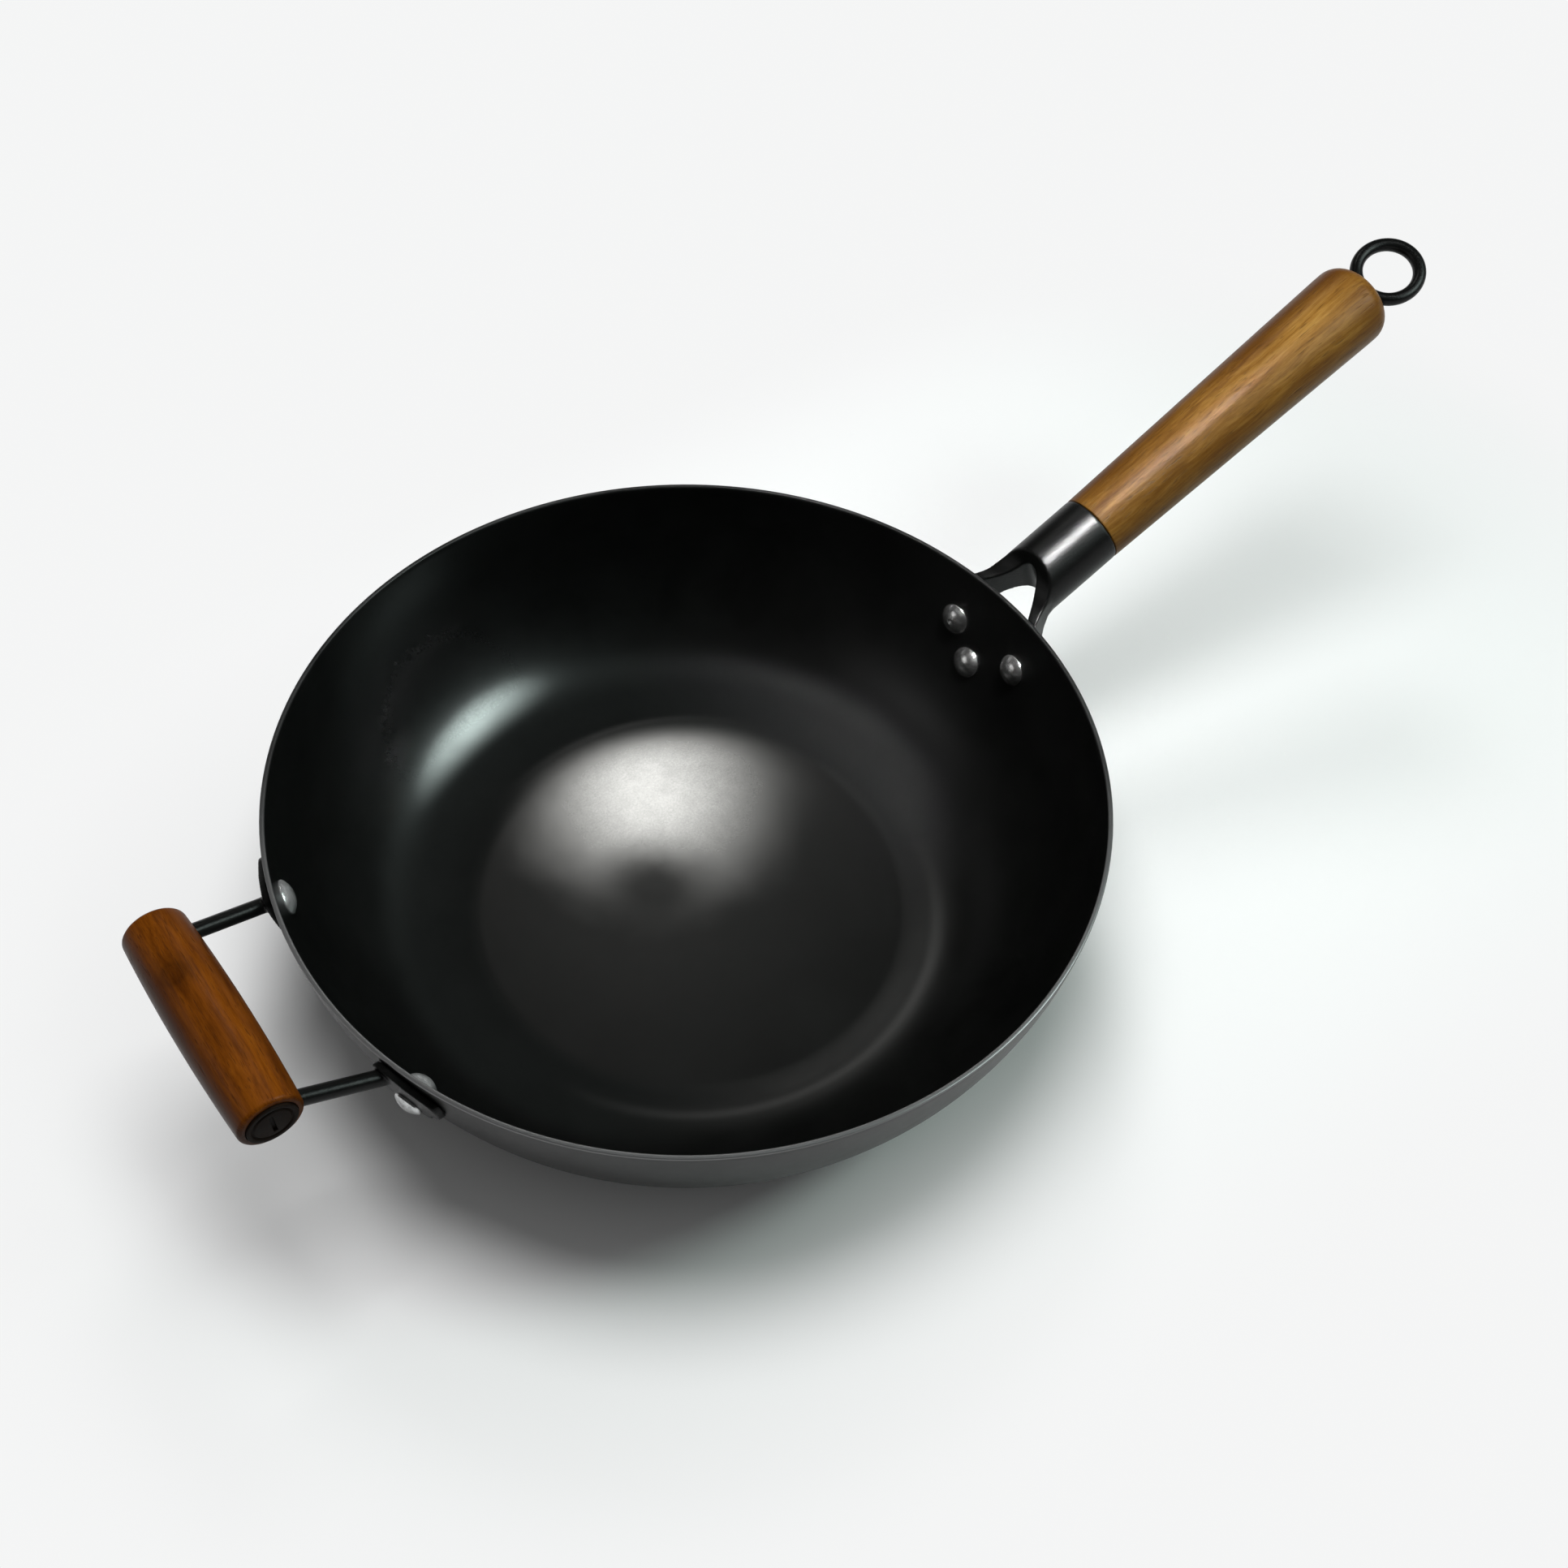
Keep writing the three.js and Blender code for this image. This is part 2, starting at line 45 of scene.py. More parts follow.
# Shader wiring: a Wire is a socket that can be used in sums
class Wire:
    def __init__(self, look, socket):
        self.look = look
        self.socket = socket

    def maths(self, operation, first, second):
        return self.look.add("Math", {"operation": operation}, {0: first, 1: second})

    def __add__(self, other):
        return self.maths("ADD", self, other)

    def __radd__(self, other):
        return self.maths("ADD", other, self)

    def __sub__(self, other):
        return self.maths("SUBTRACT", self, other)

    def __rsub__(self, other):
        return self.maths("SUBTRACT", other, self)

    def __mul__(self, other):
        return self.maths("MULTIPLY", self, other)

    def __rmul__(self, other):
        return self.maths("MULTIPLY", other, self)

    def __pow__(self, other):
        return self.maths("POWER", self, other)

    def most(self, other):
        return self.maths("MAXIMUM", self, other)

    def least(self, other):
        return self.maths("MINIMUM", self, other)

    def fade(self, start, end):  # 0 before start, 1 past end, smooth between
        settings = {"interpolation_type": "SMOOTHSTEP"}
        return self.look.add("MapRange", settings, {0: self, 1: start, 2: end})

    def part(self, axis):
        return self.look.add("SeparateXYZ", {}, {0: self}, axis)

    def length(self):
        return self.look.add("VectorMath", {"operation": "LENGTH"}, {0: self}, "Value")

    def distance(self, place):
        return self.look.add("VectorMath", {"operation": "DISTANCE"}, {0: self, 1: place}, "Value")


class Look:
    def __init__(self, owner):
        owner.use_nodes = True
        self.tree = owner.node_tree
        self.owner = owner

    def add(self, kind, settings, inputs, output=0):
        node = self.tree.nodes.new("ShaderNode" + kind)
        for key, value in settings.items():
            if key == "stops":
                self.setRamp(node.color_ramp.elements, value)
            else:
                setattr(node, key, value)
        for key, value in inputs.items():
            self.plug(node.inputs[key], value)
        return Wire(self, node.outputs[output])

    def setRamp(self, elements, stops):
        while len(elements) < len(stops):
            elements.new(1)
        for element, (place, colour) in zip(elements, stops):
            element.position = place
            element.color = (*colour, 1)

    def plug(self, socket, value):
        if isinstance(value, Wire):
            self.tree.links.new(value.socket, socket)
        else:
            socket.default_value = value

    def spot(self, place=(0, 0, 0), turn=(0, 0, 0)):  # object coordinates seen from a piece's own centre
        here = self.add("TexCoord", {}, {}, "Object")
        centred = {"Vector": here, "Location": place, "Rotation": turn}
        return self.add("Mapping", {"vector_type": "TEXTURE"}, centred)

    def stretch(self, spot, scale):
        return self.add("Mapping", {}, {"Vector": spot, "Scale": scale})

    def noise(self, spot, scale, detail=4, rough=0.5, twist=0):
        inputs = {"Vector": spot, "Scale": scale, "Detail": detail, "Roughness": rough, "Distortion": twist}
        return self.add("TexNoise", {}, inputs)

    def blend(self, share, first, second):
        return self.add("Mix", {"data_type": "RGBA"}, {"Factor": share, 6: first, 7: second}, 2)

    def ramp(self, value, *stops):
        return self.add("ValToRGB", {"stops": stops}, {"Fac": value})

    def bump(self, height, strength, depth):
        return self.add("Bump", {}, {"Height": height, "Strength": strength, "Distance": depth})

    def finish(self, **sockets):
        shader = self.tree.nodes["Principled BSDF"]
        for name, value in sockets.items():
            self.plug(shader.inputs[name.replace("_", " ")], value)
        return self.owner


def newLook(name):
    return Look(bpy.data.materials.new(name))


# Where the two handles are, in mm
handle = dict(reach=207.1, rise=101.1, slope=22.04)
helper = dict(gripX=-194.0, gripZ=94.2)
handleTilt = math.radians(-handle["slope"])
handlePlace = Matrix.Translation((handle["reach"], 0, handle["rise"])) @ Matrix.Rotation(handleTilt, 4, "Y")
metres = Matrix.Scale(0.001, 4)


def handleSpot(look):  # X runs along the long handle
    return look.spot((handle["reach"] / 1000, 0, handle["rise"] / 1000), (0, handleTilt, 0))


def gripSpot(look):  # X runs along the helper grip, which lies on the Y axis
    return look.spot((helper["gripX"] / 1000, 0, helper["gripZ"] / 1000), (0, 0, math.pi / 2))


# Black steel of the bowl: where it is rubbed, stained, oiled and bare, and where the rim has a painted highlight, in
# metres
steelMarks = dict(rubbed=(0.022, 0.055, 0), rubbedReach=(0, 0.082), rubbedEdge=(0.073, 0.102),
                  stain=(-0.012, 0.012, 0), stainReach=(0.004, 0.036), stainMost=0.96,
                  oiled=(-0.04, 0.126, 0.025), oiledReach=(0.02, 0.075), oiledFrom=(0.006, 0.02), oiledMost=0.6,
                  rimBareAndShine=(0.0868, 0.0878), paintedShineSide=(-0.02, 0.13), bareAndShineColour=(0.26, 0.26, 0.262, 1),
                  softSide=(0.01, 0.1), softBend=(0.088, 0.106), bendStart=(0.086, 0.093), bendEnd=(0.1, 0.115),
                  farBendStart=(0.086, 0.095), farBendEnd=(0.112, 0.132), bendSheen=0.03, farBendRough=0.42)


def makeSpunSteel():
    m = steelMarks
    look = newLook("blackSpunSteel")
    spot = look.spot()
    flatSpot = look.stretch(spot, (1, 1, 0))
    radius = flatSpot.length()
    height = spot.part(2)
    rings = look.noise(look.add("CombineXYZ", {}, {0: radius, 1: height}), 1500, 3, 0.7)  # turning marks
    smudge = look.noise(spot, 26, 5, 0.6, 0.4)
    patchy = look.noise(spot, 160, 4, 0.65, 0.6)
    specks = look.noise(spot, 1100, 3, 0.7)
    uneven = smudge - 0.5

    rubbed = 1 - (flatSpot.distance(m["rubbed"]) + uneven * 0.03).fade(*m["rubbedReach"])
    rubbed = rubbed * (1 - radius.fade(*m["rubbedEdge"]))
    dull = (1 - (flatSpot.distance(m["stain"]) + uneven * 0.02).fade(*m["stainReach"])) * m["stainMost"]
    oiled = 1 - (spot.distance(m["oiled"]) + uneven * 0.03).fade(*m["oiledReach"])
    oiled = oiled * height.fade(*m["oiledFrom"]) * m["oiledMost"]
    mottle = 0.85 + uneven * 0.7 + (patchy - 0.5) * 0.3 + (specks - 0.5) * 0.5

    nearSide = (spot.part(0) * 0.25 - spot.part(1) * 0.97).fade(*m["softSide"])  # the bend starts softer there
    dish = radius.fade(*m["softBend"]) * nearSide
    bend = radius.fade(*m["bendStart"]) * (1 - radius.fade(*m["bendEnd"]))
    farBend = radius.fade(*m["farBendStart"]) * (1 - radius.fade(*m["farBendEnd"])) * (1 - nearSide)
    sheen = rubbed.most(oiled) * (1 - dull) * mottle + bend * nearSide * m["bendSheen"]

    front = (spot.part(0) * -0.58 - spot.part(1) * 0.81).fade(*m["paintedShineSide"])  # painted highlight: the rim is lighter and more metallic on this side, where it catches the light
    # bare steel worn along the rim, plus the painted highlight on one side
    bareAndShine = height.fade(*m["rimBareAndShine"]) * (0.06 + front * 0.7 + uneven * 0.2).most(0)
    black = look.ramp(smudge, (0.3, (0.0012, 0.0013, 0.0012)), (0.7, (0.003, 0.0032, 0.003)))
    colour = look.blend(bareAndShine, black, m["bareAndShineColour"])
    rough = 0.36 + uneven * 0.12 + (patchy - 0.5) * 0.08 + farBend * m["farBendRough"]
    normal = look.bump(dish + rings * 0.0013 + specks * 0.0022, 1, 0.0018)
    return look.finish(Base_Color=colour, Roughness=rough, Normal=normal, Metallic=bareAndShine, Coat_Weight=sheen,
                       Coat_Roughness=0.182, Coat_IOR=2.4, Specular_IOR_Level=0.25)


def makeBlackPaint():
    look = newLook("finePaint")
    spot = look.spot()
    grit = look.noise(spot, 1200, 3, 0.7)
    peel = look.noise(spot, 900, 2, 0.5)
    cloud = look.noise(spot, 60, 4, 0.6)
    colour = look.ramp(cloud, (0.3, (0.002, 0.0021, 0.002)), (0.75, (0.004, 0.0042, 0.004)))
    rough = 0.31 + (cloud - 0.5) * 0.06 + (grit - 0.5) * 0.16
    normal = look.bump(grit * 0.7 + peel * 0.2, 0.35, 0.0003)
    return look.finish(Base_Color=colour, Roughness=rough, Normal=normal, Specular_IOR_Level=0.15)


def makeCapBrown():
    look = newLook("darkCap")
    spot = look.spot()
    cloud = look.noise(spot, 220, 4, 0.6)
    colour = look.ramp(cloud, (0.3, (0.004, 0.0025, 0.0016)), (0.75, (0.014, 0.008, 0.005)))
    rough = 0.55 + (cloud - 0.5) * 0.3
    normal = look.bump(look.noise(spot, 900, 3, 0.6), 0.3, 0.0003)
    return look.finish(Base_Color=colour, Roughness=rough, Normal=normal, Specular_IOR_Level=0.05)


def makeRivetSteel(name, tone, metal):
    look = newLook(name)
    spot = look.spot()
    dents = look.noise(spot, 200, 2, 0.5)
    fine = look.noise(look.stretch(spot, (1, 1, 6)), 1200, 4, 0.7)
    stain = look.noise(spot, 170, 4, 0.65)
    dark = tuple(c * 0.45 for c in tone)
    colour = look.ramp(stain, (0.36, dark), (0.56, tone))
    rough = 0.24 + (fine - 0.5) * 0.08 + (stain - 0.5) * 0.08
    normal = look.bump(dents * 0.95 + fine * 0.05, 0.4, 0.001)
    return look.finish(Base_Color=colour, Roughness=rough, Metallic=metal, Normal=normal)


# Woods: tones of the grain, a painted shade along one side and a little along the other, and the marks of each
golden = dict(pith=(0.021, 0.014), dark=(0.105, 0.037, 0.0045), middle=(0.255, 0.117, 0.018),
              light=(0.385, 0.207, 0.045), paintedShade=(0.065, 0.02, 0.003), paintedShadeRun=(-0.002, 0.014),
              otherSideShadeRun=(0.008, 0.017), paintedShadeMost=0.9, gloss=0.1,
              endShade=dict(run=(0.128, 0.16), most=0.6, colour=(0.1, 0.035, 0.005)))
red = dict(pith=(0.017, -0.012), dark=(0.04, 0.0085, 0.0005), middle=(0.135, 0.036, 0.0014),
           light=(0.19, 0.056, 0.003), paintedShade=(0.03, 0.0065, 0.0006), paintedShadeRun=(0.003, 0.012),
           otherSideShadeRun=(0.006, 0.012), paintedShadeMost=0.75, gloss=0.08,
           knot=dict(place=(0.016, 0.007, 0.0175), size=0.011))


def makeWood(name, spotOf, tree):
    look = newLook(name)
    spot = spotOf(look)  # X runs along the grain
    wander = look.noise(look.stretch(spot, (9, 30, 30)), 1, 3, 0.5)
    bent = look.add("VectorMath", {"operation": "MULTIPLY_ADD"}, {0: wander, 1: (0, 0.009, 0.012), 2: spot})
    across = look.add("Mapping", {}, {"Vector": bent, "Location": (0, *tree["pith"]), "Scale": (0.02, 1, 1)})
    bands = look.noise(look.add("CombineXYZ", {}, {0: across.length()}), 260, 3, 0.6)
    fibre = look.noise(look.stretch(bent, (60, 850, 850)), 1, 4, 0.7)
    streak = look.noise(look.stretch(bent, (6, 120, 120)), 1, 3, 0.55)
    pores = look.noise(look.stretch(bent, (130, 1700, 1700)), 1, 2, 0.5).fade(0.58, 0.7)
    cloud = look.noise(look.stretch(spot, (22, 60, 60)), 1, 4, 0.6)
    grain = bands * 0.3 + streak * 0.3 + fibre * 0.4
    dark = tree["dark"]
    colour = look.ramp(grain, (0.36, dark), (0.5, tree["middle"]), (0.63, tree["light"]))
    colour = look.blend(cloud.fade(0.42, 0.72) * 0.5, colour, (*dark, 1))
    knot = tree.get("knot")
    if knot:
        away = bent.distance(knot["place"])
        knotRings = look.noise(look.add("CombineXYZ", {}, {0: away}), 420, 2, 0.5)
        mask = (1 - away.fade(knot["size"] * 0.2, knot["size"])) * (0.35 + knotRings * 0.9)
        colour = look.blend(mask * 0.6, colour, (*(c * 0.3 for c in dark), 1))
    # painted shade: the wood is darker along one side, where it is shaded
    paintedShade = (spot.part(1) + (wander - 0.5) * 0.012).fade(*tree["paintedShadeRun"])
    far = (spot.part(1) * -1 + (wander - 0.5) * 0.008).fade(*tree["otherSideShadeRun"]) * 0.15  # painted shade, a little on the other side
    colour = look.blend(paintedShade.most(far) * tree["paintedShadeMost"], colour, (*tree["paintedShade"], 1))
    shade = tree.get("endShade")
    if shade:
        along = spot.part(0).fade(*shade["run"])
        colour = look.blend(along * shade["most"], colour, (*shade["colour"], 1))
    colour = look.blend(pores * 0.5, colour, (*(c * 0.45 for c in dark), 1))
    rough = 0.36 + (fibre - 0.5) * 0.2 + pores * 0.18
    normal = look.bump(fibre * 0.5 + bands * 0.2 - pores * 0.8, 0.25, 0.0003)
    return look.finish(Base_Color=colour, Roughness=rough, Normal=normal, Specular_IOR_Level=tree["gloss"])


spunSteel = makeSpunSteel()
blackPaint = makeBlackPaint()
capBrown = makeCapBrown()
# painted light: the helper rivets get a lighter copy of the rivet steel, standing in for the brighter light they
# catch
paintedLightRivet = makeRivetSteel("rivetSteelPaintedLight", (0.66, 0.67, 0.67), 0.75)
greyRivet = makeRivetSteel("rivetSteelGrey", (0.55, 0.55, 0.54), 0.92)
goldenWood = makeWood("goldenWood", handleSpot, golden)
redWood = makeWood("redWood", gripSpot, red)
print("finishes made")


# Mesh helpers, all in mm
def chain(bm, points):  # a line of edges through a few points
    verts = [bm.verts.new(point) for point in points]
    for first, second in zip(verts, verts[1:]):
        bm.edges.new((first, second))
    return verts


def soften(bm, width, segments=3, sharp=30):  # rounds the sharp edges
    edges = [e for e in bm.edges if e.is_manifold and e.calc_face_angle() > math.radians(sharp)]
    bmesh.ops.bevel(bm, geom=edges, offset=width, segments=segments, profile=0.5,
                    affect="EDGES", material=-1, clamp_overlap=True)


def spun(bm, axis, steps):  # turns what is in the mesh into a full round
    bmesh.ops.spin(bm, geom=bm.verts[:] + bm.edges[:], cent=(0, 0, 0), axis=axis,
                   angle=2 * math.pi, steps=steps, use_merge=True)
    bmesh.ops.remove_doubles(bm, verts=bm.verts, dist=0.0005)
    bmesh.ops.recalc_face_normals(bm, faces=bm.faces)
    return bm


def turned(points, steps=96, edge=0, segments=3):  # points are (along X, radius)
    bm = bmesh.new()
    chain(bm, [(x, 0, r) for x, r in points])
    spun(bm, (1, 0, 0), steps)
    if edge:
        soften(bm, edge, segments)
    return bm


def pull(bm, way):  # gives a flat face a thickness
    swept = bmesh.ops.extrude_face_region(bm, geom=bm.faces[:])["geom"]
    bmesh.ops.translate(bm, vec=way, verts=[g for g in swept if isinstance(g, bmesh.types.BMVert)])
    bmesh.ops.recalc_face_normals(bm, faces=bm.faces)
    return bm


lifts = {"xy": lambda u, v, w: (u, v, w), "xz": lambda u, v, w: (u, w, v), "yz": lambda u, v, w: (w, u, v)}


def prism(points, plane, low, high, rounds=()):  # outline in a plane, carried across it
    bm = bmesh.new()
    lift = lifts[plane]
    verts = [bm.verts.new(lift(u, v, low)) for u, v in points]
    bm.faces.new(verts)
    for corner, size in rounds:
        bmesh.ops.bevel(bm, geom=[verts[corner]], offset=size, segments=8, profile=0.5,
                        affect="VERTICES", material=-1)
    return pull(bm, lift(0, 0, high - low))


def rod(start, end, radius, segments=40):
    bm = bmesh.new()
    start, end = Vector(start), Vector(end)
    way = end - start
    bmesh.ops.create_circle(bm, cap_ends=True, segments=segments, radius=radius)
    pull(bm, (0, 0, way.length))
    return moved(bm, Matrix.Translation(start) @ way.to_track_quat("Z", "Y").to_matrix().to_4x4())


def moved(bm, matrix):
    bmesh.ops.transform(bm, matrix=matrix, verts=bm.verts)
    return bm


def blank(bm):  # a bare object for the modifiers to work on
    mesh = bpy.data.meshes.new("blank")
    bm.to_mesh(mesh)
    bm.free()
    obj = bpy.data.objects.new("blank", mesh)
    scene.collection.objects.link(obj)
    return obj


def settle(obj, *tools):  # the modified mesh as a new bmesh, blanks removed
    bpy.context.view_layer.update()
    shown = obj.evaluated_get(bpy.context.evaluated_depsgraph_get())
    bm = bmesh.new()
    bm.from_mesh(shown.to_mesh())
    shown.to_mesh_clear()
    for old in (obj, *tools):
        mesh = old.data
        bpy.data.objects.remove(old)
        bpy.data.meshes.remove(mesh)
    return bm


def carved(bm, *steps):  # joins, cuts and keeps in order
    obj = blank(bm)
    tools = []
    for operation, tool in steps:
        tools.append(blank(tool))
        modifier = obj.modifiers.new(operation.lower(), "BOOLEAN")
        modifier.operation = operation
        modifier.object = tools[-1]
        modifier.solver = "EXACT"
    return settle(obj, *tools)


def melted(bm, voxel, rounds):  # one skin with soft edges, as forged and painted steel has
    obj = blank(bm)
    remesh = obj.modifiers.new("skin", "REMESH")
    remesh.mode = "VOXEL"
    remesh.voxel_size = voxel
    smooth = obj.modifiers.new("soft", "SMOOTH")
    smooth.factor = 0.5
    smooth.iterations = rounds
    return settle(obj)


def addPiece(name, bm, look, slot, *nodes, place=Matrix()):
    moved(bm, metres @ place)
    mesh = bpy.data.meshes.new(name)
    bm.to_mesh(mesh)
    bm.free()
    mesh.shade_smooth()
    mesh.set_sharp_from_angle(angle=math.radians(40))
    mesh.materials.append(look)
    obj = bpy.data.objects.new(name, mesh)
    scene.collection.objects.link(obj)
    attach(obj, "root")
    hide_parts(*nodes)
    print("piece", name, len(mesh.polygons), "faces")


# Bowl: the wall is part of an ellipse from the flat base to the rim
bowl = dict(rimRadius=160, height=88, sheet=1.8, baseRadius=96, rimLean=3.6, around=192, wallSteps=48, rimEdge=0.5,
            cutterSteps=24)
wallReach = bowl["rimRadius"] - bowl["baseRadius"]
leanRun = bowl["height"] * math.tan(math.radians(bowl["rimLean"]))
rimTurn = 2 * math.atan(math.sqrt(1 - 2 * leanRun / wallReach))
wallAcross = wallReach / math.sin(rimTurn)
wallUp = bowl["height"] / (1 - math.cos(rimTurn))


def wallAt(turn):  # a point on the outside of the wall, and the way out of the bowl
    point = Vector((bowl["baseRadius"] + wallAcross * math.sin(turn), wallUp * (1 - math.cos(turn))))
    outward = Vector((wallUp * math.sin(turn), -wallAcross * math.cos(turn))).normalized()
    return point, outward


def wallLine(offset, steps):  # points are (radius, height), outwards from the outside of the bowl
    line = [(0, -offset)]
    for step in range(steps + 1):
        point, outward = wallAt(rimTurn * step / steps)
        line.append(tuple(point + outward * offset))
    return line


def spunWall(line, around=96):
    bm = bmesh.new()
    chain(bm, [(r, 0, z) for r, z in line])
    return spun(bm, (0, 0, 1), around)


def bowlFilled(offset):  # all that is inside that offset, to well above the rim
    line = wallLine(offset, bowl["cutterSteps"])
    top = bowl["height"] * 2
    return spunWall(line + [(line[-1][0], top), (0, top)])


def wallLayer(inner, outer):  # a sheet that follows the wall
    return spunWall(wallLine(outer, bowl["cutterSteps"]) + wallLine(inner, bowl["cutterSteps"])[::-1])


def makeBowl():
    line = wallLine(0, bowl["wallSteps"]) + wallLine(-bowl["sheet"], bowl["wallSteps"])[::-1]
    bm = spunWall(line, bowl["around"])
    soften(bm, bowl["rimEdge"], sharp=60)
    addPiece("bowl", bm, spunSteel, "black_steel", "wok_bowl")


makeBowl()


# Socket of the long handle: a tube that forks into two splayed arms on a riveted plate
socket = dict(radius=15.2, sheet=3.2, tenon=13.7, web=2.5, wallRun=47.1, crown=32, crownRadius=11, splay=28, blend=6,
              flare=0.05, flareSteps=12, notchRadius=6, notchSplay=34, notchSteps=28, boreEnd=27, boreTurn=0.013,
              frontEnd=5, sideRound=9.5, wallClear=0.4,
              topStart=-28.6, topBend=(-36.5, 2.6), topEnd=(-47, 3.2), topFall=0.1,
              bottomStart=-25, bottomBend=(-35, -6), bottomEnd=(-44, -11.5), bottomFall=0.02,
              plateSheet=2.2, plateTop=5, plateMargin=9, plateCorner=6, voxel=0.5, smooth=6)
rivets = dict(upperDrop=25.7, upperSpread=18.6, lowerDrop=39.4, lowerShift=4.6, headRadius=6.8, headHeight=3.8,
              tailRadius=5.6, tailHeight=2.6, helperDrop=19, helperSpread=49, farHead=3.2, nearHead=5.6, shank=2.5,
              lip=0.5, domeSteps=8, around=64, edge=0.2, dimple=1.1, dimpleLip=0.05, dimpleDeep=1.4)


def forkNotch(armEnd, tall):  # the gap between the arms, round at the crown
    s = socket
    splay = math.radians(s["notchSplay"])
    centreX = -s["crown"] - s["notchRadius"]
    startX = centreX + s["notchRadius"] * math.sin(splay)
    half = s["notchRadius"] * math.cos(splay)
    endX = armEnd - 1
    endY = half + math.tan(splay) * (startX - armEnd)
    bm = bmesh.new()
    first = bm.verts.new((startX, -half, -tall))
    bmesh.ops.spin(bm, geom=[first], cent=(centreX, 0, -tall), axis=(0, 0, 1),
                   angle=math.pi - 2 * splay, steps=s["notchSteps"])
    last = max(bm.verts, key=lambda v: v.co.y)
    far = chain(bm, [(endX, -endY, -tall), (endX, endY, -tall)])
    bm.edges.new((far[0], first))
    bm.edges.new((far[1], last))
    bmesh.ops.contextual_create(bm, geom=bm.edges[:])
    return pull(bm, (0, 0, 2 * tall))


def socketPlate():  # lies against the wall, under the three rivets
    margin, shift = socket["plateMargin"], rivets["lowerShift"]
    top, wide = bowl["height"] - socket["plateTop"], rivets["upperSpread"] + margin
    shoulder = bowl["height"] - rivets["upperDrop"]
    foot = bowl["height"] - rivets["lowerDrop"] - margin
    outline = prism([(-wide, top), (-wide, shoulder), (shift - margin, foot), (shift + margin, foot),
                     (wide, shoulder), (wide, top)], "yz", 0, 2 * bowl["rimRadius"],
                    [(i, socket["plateCorner"]) for i in range(6)])
    return carved(wallLayer(gap, gap + socket["plateSheet"]), ("INTERSECT", outline))


def makeSocket():
    s = socket
    splay = math.radians(s["splay"])
    front = s["frontEnd"]  # the cutters start past the end of the tube
    armEnd = -(s["wallRun"] / math.cos(handleTilt) + s["crown"])
    crownX = -s["crown"] - s["crownRadius"]
    archX = crownX + s["crownRadius"] * math.sin(splay)
    archY = s["crownRadius"] * math.cos(splay)
    armOut = s["sheet"] / math.cos(splay)
    armEndY = archY + math.tan(splay) * (archX - armEnd) + armOut
    bendX = archX - (s["radius"] - armOut - archY) / math.tan(splay)
    flareStart = bendX + s["blend"]
    tall = 2 * armEndY
    bore = s["radius"] - s["sheet"]
    over = s["radius"] + s["sheet"] / 2
    steps = [armEnd + (flareStart - armEnd) * i / s["flareSteps"] for i in range(s["flareSteps"] + 1)]
    flare = [(armEnd, 0)] + [(x, s["radius"] + s["flare"] * (flareStart - x) ** 2) for x in steps]
    body = turned(flare + [(0, s["radius"]), (0, 0)])
    plan = prism([(front, -s["radius"]), (front, s["radius"]), (bendX, s["radius"]), (armEnd, armEndY),
                  (armEnd, -armEndY), (bendX, -s["radius"])], "xy", -tall, tall,
                 [(2, s["blend"]), (5, s["blend"])])
    side = prism([(front, over), (s["topStart"], over), s["topBend"], s["topEnd"],
                  (armEnd, s["topEnd"][1] + s["topFall"] * (armEnd - s["topEnd"][0])),
                  (armEnd, s["bottomEnd"][1] + s["bottomFall"] * (armEnd - s["bottomEnd"][0])),
                  s["bottomEnd"], s["bottomBend"], (s["bottomStart"], -over), (front, -over)], "xz", -tall, tall,
                 [(2, s["sideRound"]), (7, s["sideRound"])])
    webBack = -s["tenon"] - gap
    webFront = webBack - s["web"]
    hollow = turned([(-s["boreEnd"], 0), (-s["boreEnd"], bore), (webFront, bore), (webFront, rodHole),
                     (webBack, rodHole), (webBack, bore), (front, bore), (front, 0)])
    moved(hollow, Matrix.Rotation(s["boreTurn"], 4, "X"))  # its facets stay off the tube's own
    away = moved(bowlFilled(gap + s["wallClear"]), handlePlace.inverted())
    arms = carved(body, ("INTERSECT", plan), ("INTERSECT", side), ("DIFFERENCE", hollow),
                  ("DIFFERENCE", forkNotch(armEnd, tall)), ("DIFFERENCE", away))
    bm = carved(arms, ("UNION", moved(socketPlate(), handlePlace.inverted())))
    bm = melted(bm, s["voxel"], s["smooth"])
    addPiece("socket", bm, blackPaint, "black_paint", "handle_socket", place=handlePlace)


makeSocket()


# Wood of the long handle, thicker at its far end
wood = dict(length=157.7, frontRadius=15.2, backRadius=18.2, swellRun=146, endRound=8, roundSteps=10, around=128,
            edge=0.5)


def makeHandleWood():
    w = wood
    tenonRadius = socket["radius"] - socket["sheet"] - gap
    tenonEnd = -socket["tenon"]
    roundX = w["length"] - w["endRound"]
    bm = bmesh.new()
    side = chain(bm, [(tenonEnd, 0, rodHole), (tenonEnd, 0, tenonRadius), (gap, 0, tenonRadius),
                      (gap, 0, w["frontRadius"]), (w["swellRun"], 0, w["backRadius"]), (roundX, 0, w["backRadius"])])
    centre = (roundX, 0, w["backRadius"] - w["endRound"])
    bmesh.ops.spin(bm, geom=[side[-1]], cent=centre, axis=(0, 1, 0), angle=math.pi / 2, steps=w["roundSteps"])
    roundEnd = max(bm.verts, key=lambda v: v.co.x)
    hole = chain(bm, [(w["length"], 0, rodHole), (tenonEnd, 0, rodHole)])
    bm.edges.new((roundEnd, hole[0]))
    spun(bm, (1, 0, 0), w["around"])
    soften(bm, w["edge"], sharp=50)
    addPiece("handleWood", bm, goldenWood, "golden_wood", "handle_grip", place=handlePlace)


makeHandleWood()


# Hanging eye on its rod, with the washer and nut inside the socket
eye = dict(wire=2.78, wireSides=28, radius=13.25, around=96, gap=0.4, twist=13, rodSides=32, tail=1,
           washerRadius=8, washer=1.5, washerEdge=0.25, nutFlats=10, nut=5, nutEdge=0.35)


